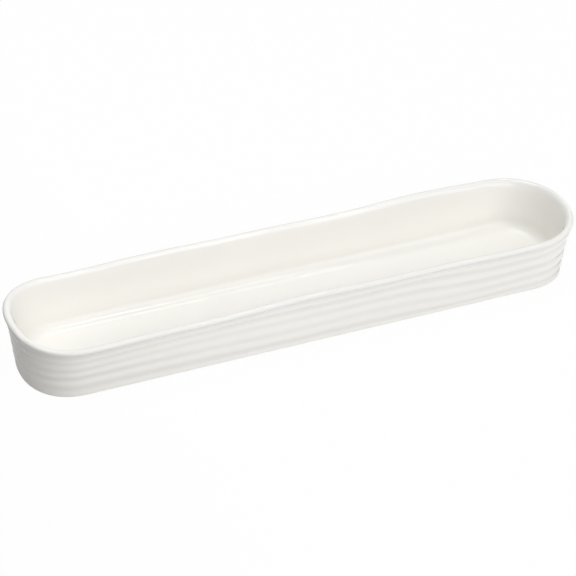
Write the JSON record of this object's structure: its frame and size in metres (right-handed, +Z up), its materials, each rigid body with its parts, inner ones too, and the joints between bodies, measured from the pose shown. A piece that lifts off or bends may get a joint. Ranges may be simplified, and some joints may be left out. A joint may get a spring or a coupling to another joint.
{
  "type": "cracker tray",
  "caption": "Long narrow glazed porcelain serving tray with rounded ends, a flared wall with soft hand-made rings outside, a flat floor and a bare foot ring.",
  "frame": {"origin": "on the table, under the middle of the tray", "axes": "+X along the length, +Y across the width, +Z up"},
  "size_m": [0.33, 0.0763, 0.0356],
  "materials": {
    "bare_porcelain": "fired porcelain, unglazed and matt where the foot ring is wiped and ground",
    "gloss_glaze": "warm white gloss glaze"
  },
  "bodies": {
    "root": {"porcelain_body": "bare_porcelain", "glaze_coat": "gloss_glaze", "underside_glaze": "gloss_glaze"}
  },
  "joints": []
}
